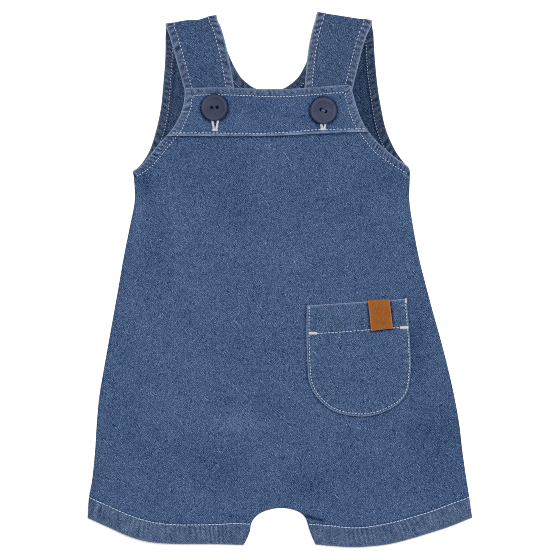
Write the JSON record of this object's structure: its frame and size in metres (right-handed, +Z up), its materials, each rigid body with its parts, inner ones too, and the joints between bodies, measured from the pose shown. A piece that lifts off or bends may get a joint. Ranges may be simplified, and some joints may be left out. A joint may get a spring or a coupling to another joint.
{
  "type": "kids dungarees",
  "caption": "Short bib dungarees for a baby, in light denim, laid flat with the front up: wide straps fold over the shoulders and button behind the bib; patch pocket with a leather tab.",
  "frame": {"origin": "the middle of the garment's box in plan, on the surface that it lies on", "axes": "+X to the viewer's right, +Y from the leg hems to the shoulders, +Z up from the surface, towards the camera"},
  "size_m": [0.3, 0.4172, 0.0088],
  "materials": {
    "denim": "fine washed denim, matt, with light topstitching",
    "leather": "smooth tan leather, satin",
    "button": "matt slate-blue plastic"
  },
  "bodies": {
    "root": {"back": "denim", "front": "denim", "bib_band": "denim", "pocket": "denim", "leather_tab": "leather", "button_left": "button", "button_right": "button"}
  },
  "joints": []
}
